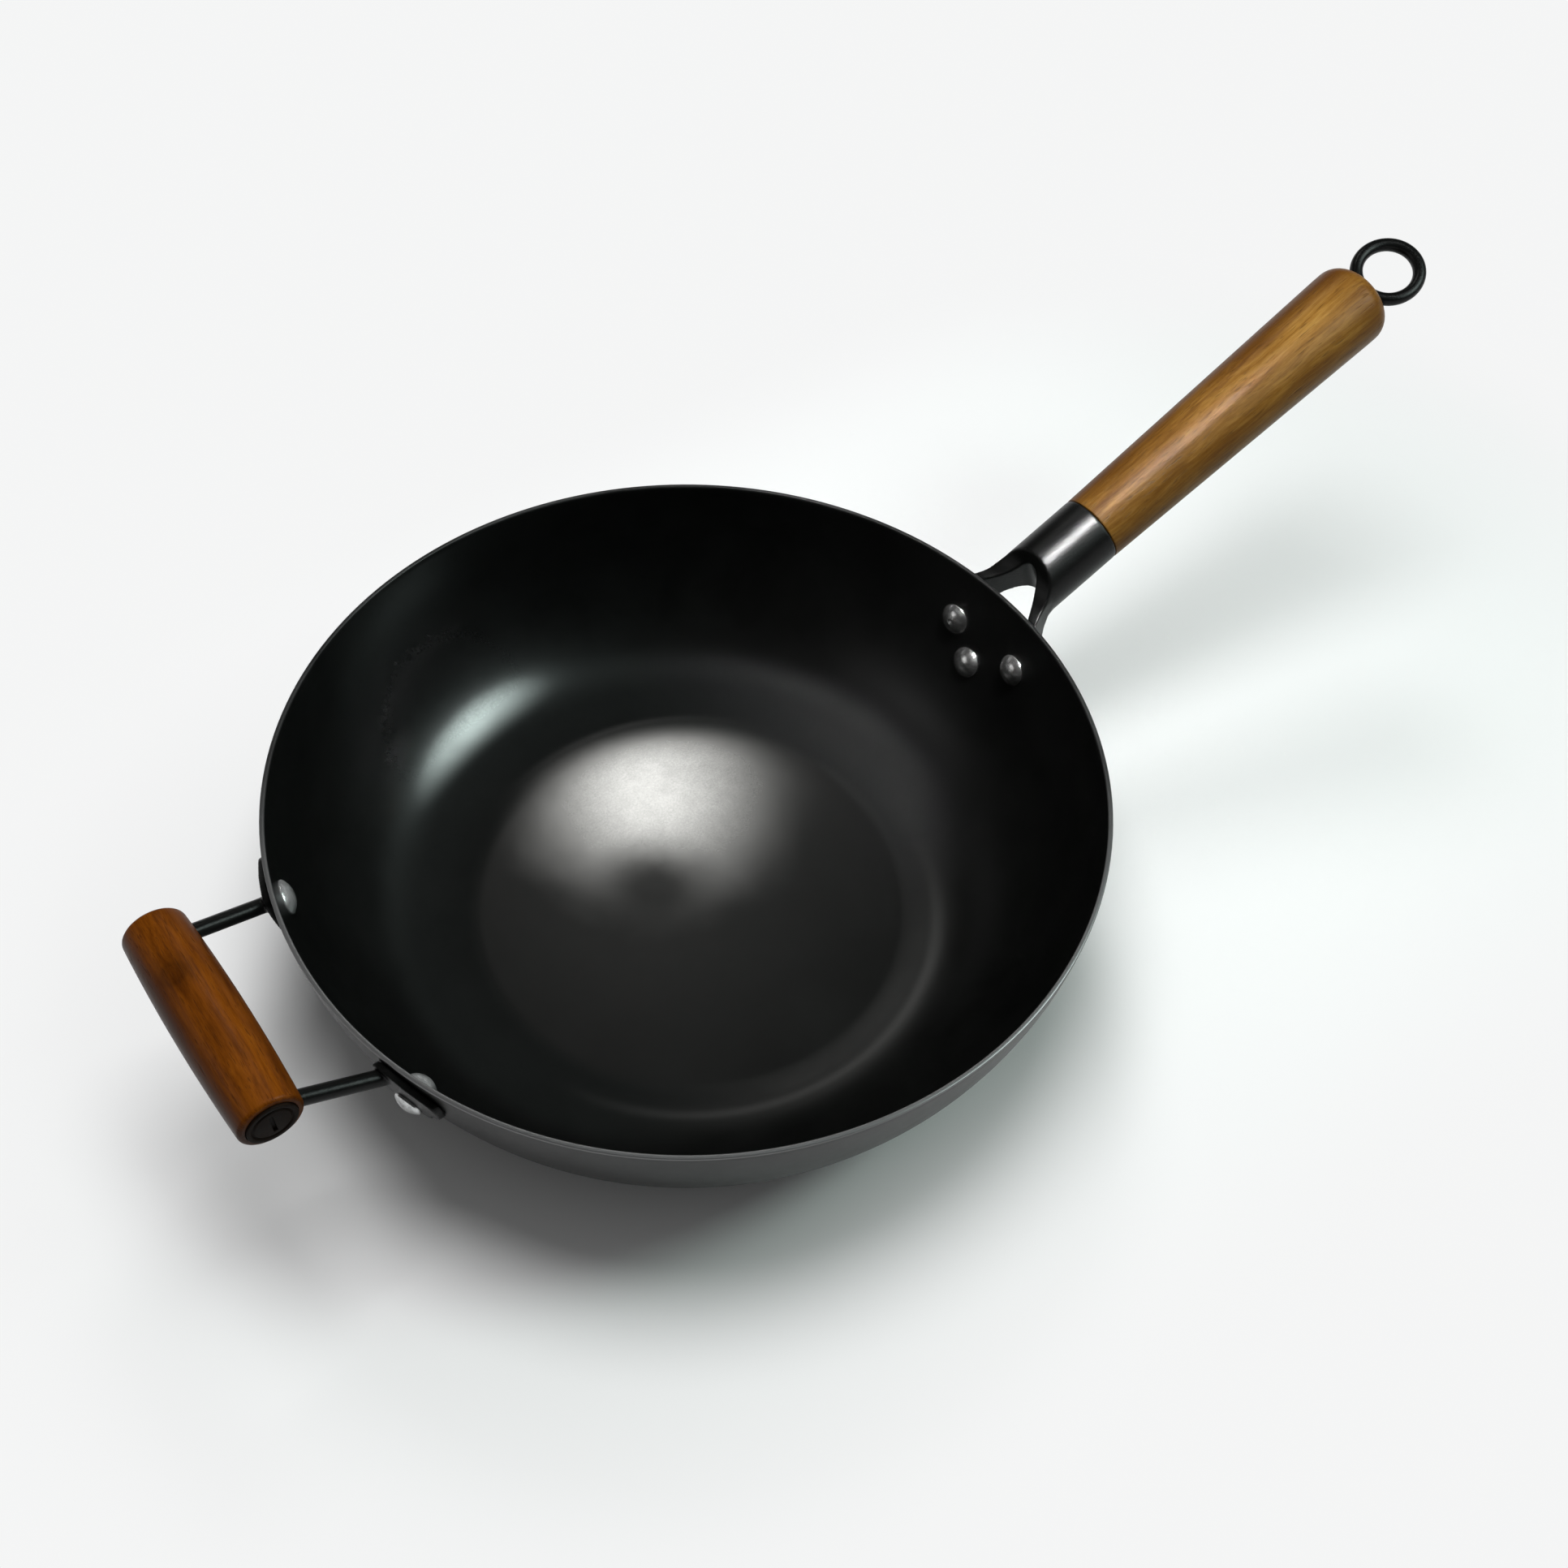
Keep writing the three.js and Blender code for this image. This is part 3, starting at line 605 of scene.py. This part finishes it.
def makeEye():
    centreX = wood["length"] + eye["gap"] + eye["wire"] + eye["radius"]
    washerBack = -socket["tenon"] - gap - socket["web"] - gap
    washerFront = washerBack - eye["washer"]
    nutFront = washerFront - gap - eye["nut"]
    ring = bmesh.new()
    bmesh.ops.create_circle(ring, segments=eye["wireSides"], radius=eye["wire"])
    moved(ring, Matrix.Translation((eye["radius"], 0, 0)) @ Matrix.Rotation(math.pi / 2, 4, "X"))
    spun(ring, (0, 0, 1), eye["around"])
    moved(ring, Matrix.Translation((centreX, 0, 0)))
    shank = rod((nutFront - eye["tail"], 0, 0), (centreX - eye["radius"], 0, 0), eye["wire"], eye["rodSides"])
    bm = carved(ring, ("UNION", shank))
    twist = handlePlace @ Matrix.Rotation(math.radians(eye["twist"]), 4, "X")
    addPiece("hangingEye", bm, blackPaint, "black_paint", "hang_ring", place=twist)
    washer = turned([(washerFront, rodHole), (washerFront, eye["washerRadius"]), (washerBack, eye["washerRadius"]),
                     (washerBack, rodHole), (washerFront, rodHole)], 64, eye["washerEdge"])
    addPiece("socketWasher", washer, greyRivet, "rivet_steel", "handle_washer", place=handlePlace)
    nut = bmesh.new()
    bmesh.ops.create_circle(nut, cap_ends=True, segments=6, radius=eye["nutFlats"] / math.sqrt(3))
    pull(nut, (0, 0, eye["nut"]))
    soften(nut, eye["nutEdge"])
    nut = carved(nut, ("DIFFERENCE", rod((0, 0, -1), (0, 0, eye["nut"] + 1), rodHole)))
    moved(nut, Matrix.Translation((nutFront, 0, 0)) @ Matrix.Rotation(math.pi / 2, 4, "Y"))
    addPiece("socketNut", nut, greyRivet, "rivet_steel", "handle_nut", place=handlePlace)


makeEye()


# Rivets: domed head inside the bowl, flatter tail outside
def rivetPlace(drop, spread, heading):
    point, outward = wallAt(math.acos(1 - (bowl["height"] - drop) / wallUp))
    turn = Matrix.Rotation(heading + math.asin(spread / point.x), 4, "Z")
    tilt = math.atan2(outward.y, outward.x)
    return turn @ Matrix.Translation((point.x, 0, point.y)) @ Matrix.Rotation(-tilt, 4, "Y")


def domeLine(seat, radius, height, way):  # from the edge of a dome to its top
    ball = (radius ** 2 + height ** 2) / (2 * height)
    sweep = math.asin(min(1, radius / ball))
    line = []
    for step in range(rivets["domeSteps"] + 1):
        angle = sweep * (1 - step / rivets["domeSteps"])
        line.append((seat + way * (height - ball + ball * math.cos(angle)), ball * math.sin(angle)))
    return line


def makeRivet(name, node, place, headHeight, outerLayer, look, dimple=0):
    innerFace = -bowl["sheet"] - gap
    outerFace = gap + outerLayer + gap
    lip = rivets["lip"]
    head = domeLine(innerFace - lip, rivets["headRadius"], headHeight - lip, -1)
    if dimple:
        top = head[-1][0]
        head = head[:-2] + [(top - rivets["dimpleLip"], dimple), (top + dimple * rivets["dimpleDeep"], 0)]
    tail = domeLine(outerFace + lip, rivets["tailRadius"], rivets["tailHeight"] - lip, 1)
    shank = [(innerFace + lip, rivets["headRadius"]), (innerFace + lip, rivets["shank"]),
             (outerFace - lip, rivets["shank"]), (outerFace - lip, rivets["tailRadius"])]  # sunk, so no gap shows
    bm = turned(head[::-1] + shank + tail, rivets["around"], rivets["edge"], 2)
    addPiece(name, bm, look, "rivet_steel", node, place=place)


makeRivet("handleRivetLeft", "handle_rivet_left", rivetPlace(rivets["upperDrop"], rivets["upperSpread"], 0),
          rivets["headHeight"], socket["plateSheet"], greyRivet, rivets["dimple"])
makeRivet("handleRivetRight", "handle_rivet_right", rivetPlace(rivets["upperDrop"], -rivets["upperSpread"], 0),
          rivets["headHeight"], socket["plateSheet"], greyRivet)
makeRivet("handleRivetLow", "handle_rivet_low", rivetPlace(rivets["lowerDrop"], rivets["lowerShift"], 0),
          rivets["headHeight"], socket["plateSheet"], greyRivet)


# Helper handle: turned grip on two rods, each flattened into a riveted tab
leg = dict(radius=3, spread=37.6, past=5, footSpread=42, footDrop=7, sheet=2.6, footMargin=4.3, rivetMargin=8,
           reach=14.5, neckShift=2, stripLow=70, stripHigh=80, corners=(3.9, 5, 2, 3.9, 3.9, 3.9, 3.9),
           voxel=0.4, smooth=6)
grip = dict(half=44.2, middle=12.5, end=11.3, edge=1.6, recess=9.1, steps=12, around=112)
capScrew = dict(radius=8.8, thickness=2, standOut=0.8, slotWidth=1.4, slotLength=9, slotDepth=1, around=80, edge=0.2,
                groove=((0, 7.4), (0.5, 7.0), (0.5, 6.6), (0, 6.2)))  # groove is (depth, radius)


def makeLeg(name, node, side):
    atGrip = Vector((-helper["gripX"], side * leg["spread"], helper["gripZ"]))
    atWall = Vector((bowl["rimRadius"], side * leg["footSpread"], bowl["height"] - leg["footDrop"]))
    way = (atGrip - atWall).normalized()
    bar = rod(atWall - way * 2 * leg["sheet"], atGrip + way * leg["past"], leg["radius"])
    inner, outer = leg["footSpread"] - leg["footMargin"], rivets["helperSpread"] + leg["reach"]
    top = bowl["height"] - leg["footDrop"] + leg["footMargin"]
    foot = bowl["height"] - rivets["helperDrop"] - leg["rivetMargin"]
    lobe = rivets["helperSpread"] + leg["rivetMargin"]
    line = [(inner, foot), (lobe, foot), (lobe + leg["neckShift"], leg["stripLow"]), (outer, leg["stripLow"]),
            (outer, leg["stripHigh"]), (leg["footSpread"] + leg["footMargin"], top), (inner, top)]
    outline = prism([(side * y, z) for y, z in line], "yz", 0, 2 * bowl["rimRadius"], enumerate(leg["corners"]))
    tab = carved(wallLayer(gap, gap + leg["sheet"]), ("INTERSECT", outline))
    bm = carved(bar, ("DIFFERENCE", bowlFilled(gap)), ("UNION", tab))
    bm = melted(bm, leg["voxel"], leg["smooth"])
    addPiece(name, bm, blackPaint, "black_paint", node, place=Matrix.Rotation(math.pi, 4, "Z"))


makeLeg("helperLegLeft", "helper_leg_left", -1)
makeLeg("helperLegRight", "helper_leg_right", 1)


def makeGrip():
    g, c = grip, capScrew
    face = g["half"] + c["standOut"]
    back = face - c["thickness"]
    seat = back - gap
    line = []
    for step in range(-g["steps"], g["steps"] + 1):
        along = g["half"] * step / g["steps"]
        line.append((along, g["middle"] - (g["middle"] - g["end"]) * (along / g["half"]) ** 2))
    ends = [(g["half"], g["recess"]), (seat, g["recess"]), (seat, 0)]
    bm = turned([(-x, r) for x, r in ends[::-1]] + line + ends, g["around"])
    edges = [e for e in bm.edges if e.is_manifold and e.calc_face_angle() > math.radians(50)]
    outerEdges = [e for e in edges if all(abs(math.hypot(v.co.y, v.co.z) - g["end"]) < 0.2 for v in e.verts)]
    bmesh.ops.bevel(bm, geom=outerEdges, offset=g["edge"], segments=6, profile=0.5, affect="EDGES", material=-1)
    lie = Matrix.Translation((helper["gripX"], 0, helper["gripZ"])) @ Matrix.Rotation(math.pi / 2, 4, "Z")
    addPiece("helperGrip", bm, redWood, "red_wood", "helper_grip", place=lie)
    capLine = [(back, 0), (back, c["radius"]), (face, c["radius"])]
    capLine += [(face - depth, r) for depth, r in c["groove"]] + [(face, 0)]
    across, down = c["slotWidth"] / 2, c["slotLength"] / 2
    slotLine = [(-across, -down), (across, -down), (across, down), (-across, down)]
    caps = (("helperCapRight", "helper_screw_right", math.pi), ("helperCapLeft", "helper_screw_left", 0))
    for name, node, turn in caps:
        cap = turned(capLine, c["around"], c["edge"], 2)
        cap = carved(cap, ("DIFFERENCE", prism(slotLine, "yz", face - c["slotDepth"], face + 1)))
        addPiece(name, cap, capBrown, "black_paint", node, place=lie @ Matrix.Rotation(turn, 4, "Z"))


makeGrip()
makeRivet("helperRivetLeft", "helper_rivet_left", rivetPlace(rivets["helperDrop"], -rivets["helperSpread"], math.pi),
          rivets["farHead"], leg["sheet"], paintedLightRivet)
makeRivet("helperRivetRight", "helper_rivet_right", rivetPlace(rivets["helperDrop"], rivets["helperSpread"], math.pi),
          rivets["nearHead"], leg["sheet"], paintedLightRivet)


# Stage: pale floor, soft lamps, white surround
stage = dict(floorSize=6, floorDrop=0.0003, floorNear=(0.87, 0.875, 0.875), floorFar=(0.93, 0.935, 0.935),
             colourFade=(0.1, 0.32), whiteFade=(0.12, 0.28), handleRun=(-0.05, 0.33), bounceColour=(0.16, 0.16, 0.16),
             farColour=(0.91, 0.915, 0.915), horizon=(0.04, 0.16), fillSide=0.02, fillTop=0.42, ceiling=0.02)
gleam = dict(shares=(1, 0.72, 0.47, 0.25), layerGap=0.01)


def rays(look):  # from the camera, and off gloss or through glass
    seen = look.add("LightPath", {}, {}, "Is Camera Ray")
    glossy = look.add("LightPath", {}, {}, "Is Glossy Ray")
    through = look.add("LightPath", {}, {}, "Is Transmission Ray")
    return seen, glossy.most(through)


def makeFloor():
    bm = bmesh.new()
    bmesh.ops.create_grid(bm, x_segments=2, y_segments=2, size=stage["floorSize"])
    mesh = bpy.data.meshes.new("floor")
    bm.to_mesh(mesh)
    bm.free()
    floor = bpy.data.objects.new("floor", mesh)
    floor.location.z = -stage["floorDrop"]
    scene.collection.objects.link(floor)
    look = newLook("paleFloor")
    spot = look.spot()
    along = spot.part(0)
    start, end = stage["handleRun"]
    beside = along - along.most(start).least(end)  # 0 all along the handle
    away = look.add("CombineXYZ", {}, {0: beside, 1: spot.part(1)}).length()
    mottle = (look.noise(spot, 3, 3) - 0.5) * 0.1
    farShare = (away + mottle).fade(*stage["colourFade"])
    colour = look.blend(farShare, (*stage["floorNear"], 1), (*stage["floorFar"], 1))
    seen, mirrored = rays(look)
    shown = seen.most(mirrored)
    colour = look.blend(shown, (*stage["bounceColour"], 1), colour)
    look.finish(Base_Color=colour, Roughness=0.8, Specular_IOR_Level=0.1)
    white = look.add("Emission", {}, {"Color": (*stage["farColour"], 1)})
    shader = Wire(look, look.tree.nodes["Principled BSDF"].outputs[0])
    both = look.add("MixShader", {}, {0: shown * away.fade(*stage["whiteFade"]), 1: shader, 2: white})
    look.plug(look.tree.nodes["Material Output"].inputs["Surface"], both)
    mesh.materials.append(look.owner)


def makeSurround():
    world = bpy.data.worlds.new("studio")
    scene.world = world
    look = Look(world)
    way = look.add("TexCoord", {}, {}, "Generated")
    high = way.part(2).fade(*stage["horizon"])
    seen, mirrored = rays(look)
    backdrop = 1 - high * (1 - stage["ceiling"])
    shown = seen.most(mirrored * backdrop)
    fillShare = 1 - seen.most(mirrored)
    background = look.tree.nodes["Background"]
    background.inputs["Color"].default_value = (*stage["farColour"], 1)
    fill = stage["fillSide"] + way.part(2).most(0) ** 2 * stage["fillTop"]
    look.plug(background.inputs["Strength"], shown + fillShare * fill)


def addLamp(name, place, aim, size, power, tint=(1, 1, 1), spread=180, lights=True, gleams=True):
    data = bpy.data.lights.new(name, "AREA")
    data.shape = "ELLIPSE"
    data.size, data.size_y = size
    data.energy = power
    data.color = tint
    data.spread = math.radians(spread)
    lamp = bpy.data.objects.new(name, data)
    lamp.location = place
    lamp.rotation_euler = (Vector(aim) - Vector(place)).to_track_quat("-Z", "Y").to_euler()
    lamp.visible_diffuse = lights
    lamp.visible_glossy = gleams
    scene.collection.objects.link(lamp)


def addGleam(name, place, aim, size, level, tint=(1, 1, 1), spread=180):  # seen in gloss only, fading to its edge
    shares = gleam["shares"]
    forward = (Vector(aim) - Vector(place)).normalized()
    for step, share in enumerate(shares):
        width, depth = size[0] * share, size[1] * share
        power = level / len(shares) * math.pi * width * depth * math.pi / 4
        layer = Vector(place) + forward * gleam["layerGap"] * step  # in one plane they would hide each other
        addLamp(name + str(step), layer, aim, (width, depth), power, tint, spread, lights=False)


makeFloor()
makeSurround()
addLamp("overhead", (0.02, 0.05, 0.92), (0, 0.03, 0), (0.55, 0.45), 5.8, gleams=False)
addLamp("side", (0.56, -0.43, 0.72), (0, 0, 0.01), (0.2, 0.3), 1.85, (0.8, 1, 0.92), gleams=False)
addLamp("back", (0.42, 0.6, 0.9), (0, 0, 0), (0.3, 0.3), 3, gleams=False)
addGleam("behind", (0.385, 0.635, 0.92), (0.013, 0.045, 0), (0.3, 0.28), 10.5, (1, 1, 0.96))
addGleam("right", (0.56, -0.43, 0.72), (-0.03, 0.12, 0.01), (0.75, 0.6), 13, (0.84, 1, 0.96))
addGleam("strip", (0.19, -0.15, 0.93), (0.185, 0, 0.093), (0.12, 0.3), 11, spread=14)
addGleam("woodStrip", (0.36, -0.15, 0.95), (0.3, 0, 0.135), (0.3, 0.1), 0.6, spread=30)
addGleam("left", (-0.95, 0.4, 0.6), (0.15, 0, 0.06), (0.9, 0.5), 2.2)
addGleam("far", (-0.16, 1.0, 0.5), (0.05, -0.05, 0.02), (0.7, 0.4), 0.6)

photo = dict(place=(-0.22384, -0.31300, 0.57093), turn=(38.0372, -2.6984, -37.3522), lens=37.267, sensor=36)
cameraData = bpy.data.cameras.new("camera")
cameraData.lens = photo["lens"]
cameraData.sensor_width = photo["sensor"]
camera = bpy.data.objects.new("camera", cameraData)
camera.location = photo["place"]
camera.rotation_euler = [math.radians(angle) for angle in photo["turn"]]
scene.collection.objects.link(camera)
scene.camera = camera
print("stage set")
